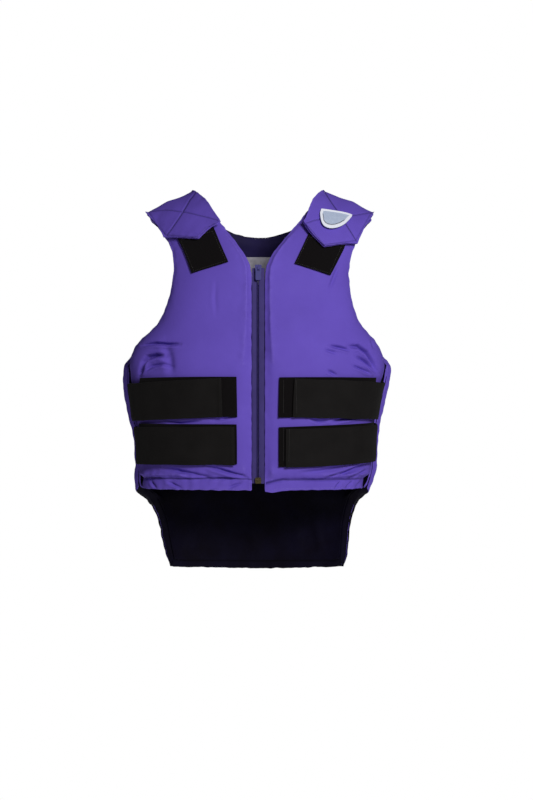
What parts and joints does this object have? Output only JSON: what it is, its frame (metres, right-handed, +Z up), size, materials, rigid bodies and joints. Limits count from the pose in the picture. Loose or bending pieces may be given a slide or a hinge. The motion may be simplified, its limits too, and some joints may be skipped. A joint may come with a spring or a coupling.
{
  "type": "equestrian body protector",
  "caption": "Zip-front padded riding vest with side straps, pointed shoulder flaps and a longer back tail, in its worn shape.",
  "frame": {"origin": "midway between the two shoulder straps, level with their undersides, where the vest rests on the wearer's shoulders", "axes": "+Z up, the chest and the zip face -Y, +X towards the wearer's left side"},
  "size_m": [0.4184, 0.24, 0.5931],
  "materials": {
    "shell": "smooth purple woven polyester over foam",
    "lining": "dark navy knitted lining",
    "elastic": "black ribbed elastic webbing",
    "loop": "black brushed loop tape",
    "zip_tape": "dark purple woven zip tape",
    "zip_coil": "moulded dark purple coil",
    "zip_metal": "blue-purple enamelled zinc",
    "zip_stop": "dull brass",
    "label": "pale grey satin ribbon",
    "badge": "white and pale blue woven badge"
  },
  "bodies": {
    "vest": {"front_panel_right": "shell", "front_panel_left": "shell", "back_panel": "shell", "back_lining": "lining", "shoulder_flap_right": "shell", "shoulder_flap_left": "shell", "shoulder_loop_right": "loop", "shoulder_loop_left": "loop", "side_strap_upper_right": "elastic", "side_strap_upper_left": "elastic", "side_strap_lower_right": "elastic", "side_strap_lower_left": "elastic", "side_loop_upper_right": "loop", "side_loop_upper_left": "loop", "side_loop_lower_right": "loop", "side_loop_lower_left": "loop", "zip_tape_right": "zip_tape", "zip_tape_left": "zip_tape", "zip_chain": "zip_coil", "zip_slider": "zip_metal", "zip_box": "zip_stop", "neck_label": "label", "shoulder_badge": "badge"},
    "zip_pull": {"zip_pull": "zip_metal"}
  },
  "joints": [
    {"name": "zip_pull_hinge", "type": "hinge", "parent": "vest", "child": "zip_pull", "pos_m": [0, -0.10936, -0.09219], "axis": [-1, 0, 0], "range_deg": [0, 160]}
  ]
}
